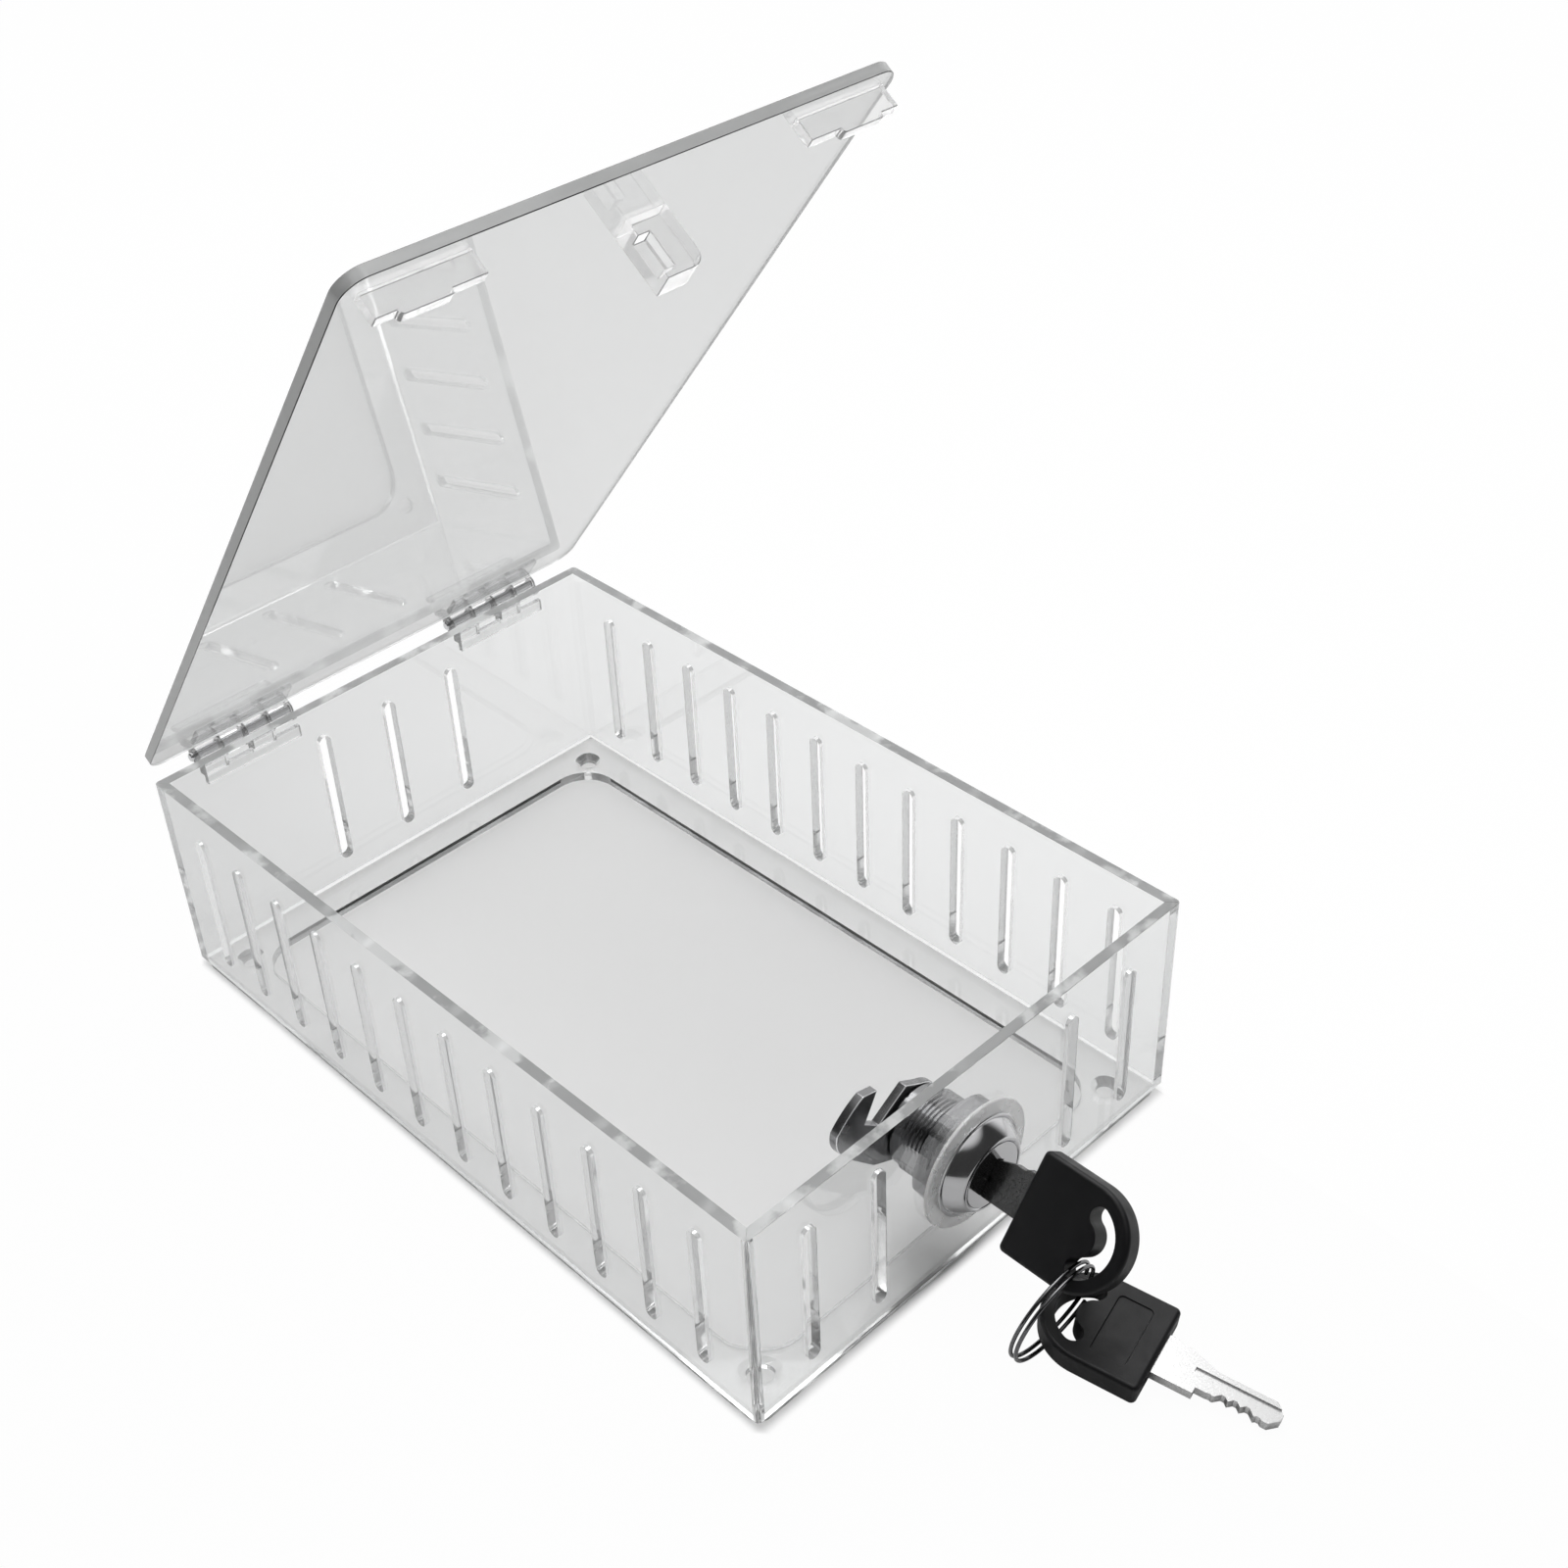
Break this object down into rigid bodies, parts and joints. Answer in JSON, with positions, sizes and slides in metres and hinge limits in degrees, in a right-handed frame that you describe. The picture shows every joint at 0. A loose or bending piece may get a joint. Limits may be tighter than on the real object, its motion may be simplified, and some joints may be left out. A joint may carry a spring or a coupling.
{
  "type": "thermostat lock box",
  "caption": "Clear acrylic guard box for a wall thermostat: slotted walls, hinged lid with keeper, cam lock with hook, key and ringed spare key.",
  "frame": {"origin": "centre of the four wall-screw holes, on the underside of the base plate", "axes": "+Z out of the wall towards the lid, -Y towards the lock, +Y towards the hinges, +X to the right seen from the lock's side"},
  "size_m": [0.12, 0.2598, 0.2042],
  "materials": {
    "clear_acrylic": "polished clear sheet with sawn and flame-polished edges",
    "chrome_plate": "bright chrome on die-cast zinc",
    "zinc_plate": "bright zinc plate",
    "nickel_plate": "satin nickel plate",
    "bright_steel": "bright drawn wire",
    "brass": "stamped, plain",
    "black_plastic": "moulded black, semi-matt"
  },
  "bodies": {
    "box": {"base_plate": "clear_acrylic", "front_wall": "clear_acrylic", "back_wall": "clear_acrylic", "left_wall": "clear_acrylic", "right_wall": "clear_acrylic", "hinge_left_wall_leaf": "clear_acrylic", "hinge_left_pin": "bright_steel", "hinge_right_wall_leaf": "clear_acrylic", "hinge_right_pin": "bright_steel", "lock_shim_washer": "clear_acrylic", "lock_housing": "chrome_plate", "lock_nut": "zinc_plate"},
    "lid": {"lid_panel": "clear_acrylic", "lid_keeper": "clear_acrylic", "lid_tab_left": "clear_acrylic", "lid_tab_right": "clear_acrylic", "hinge_left_lid_leaf": "clear_acrylic", "hinge_right_lid_leaf": "clear_acrylic"},
    "plug": {"lock_plug": "chrome_plate", "lock_wafers": "brass", "wafer_springs": "bright_steel", "lock_cam": "zinc_plate", "cam_washer": "zinc_plate", "cam_screw": "zinc_plate"},
    "key": {"key_blade": "nickel_plate", "key_head": "black_plastic"},
    "ring": {"key_ring": "bright_steel"},
    "spare_key": {"spare_key_blade": "nickel_plate", "spare_key_head": "black_plastic"}
  },
  "joints": [
    {"name": "lid_hinge", "type": "hinge", "parent": "box", "child": "lid", "pos_m": [0, 0.096, 0.0522], "axis": [-1, 0, 0], "range_deg": [-52.54, 127.46]},
    {"name": "lock_turn", "type": "hinge", "parent": "box", "child": "plug", "pos_m": [-0.0015, -0.0932, 0.0262], "axis": [0, 1, 0], "range_deg": [-39.4, 50.6]},
    {"name": "key_withdraw", "type": "slide", "parent": "plug", "child": "key", "axis": [0, -1, 0], "range_m": [0, 0.032]},
    {"name": "ring_swing", "type": "hinge", "parent": "key", "child": "ring", "pos_m": [-0.00486, -0.1222, 0.0221], "axis": [0, 1, 0], "range_deg": [-3, 25]},
    {"name": "spare_key_swing", "type": "hinge", "parent": "ring", "child": "spare_key", "pos_m": [-0.00956, -0.11792, 0.0052], "axis": [1, 0, 0], "range_deg": [-12, 15]}
  ]
}
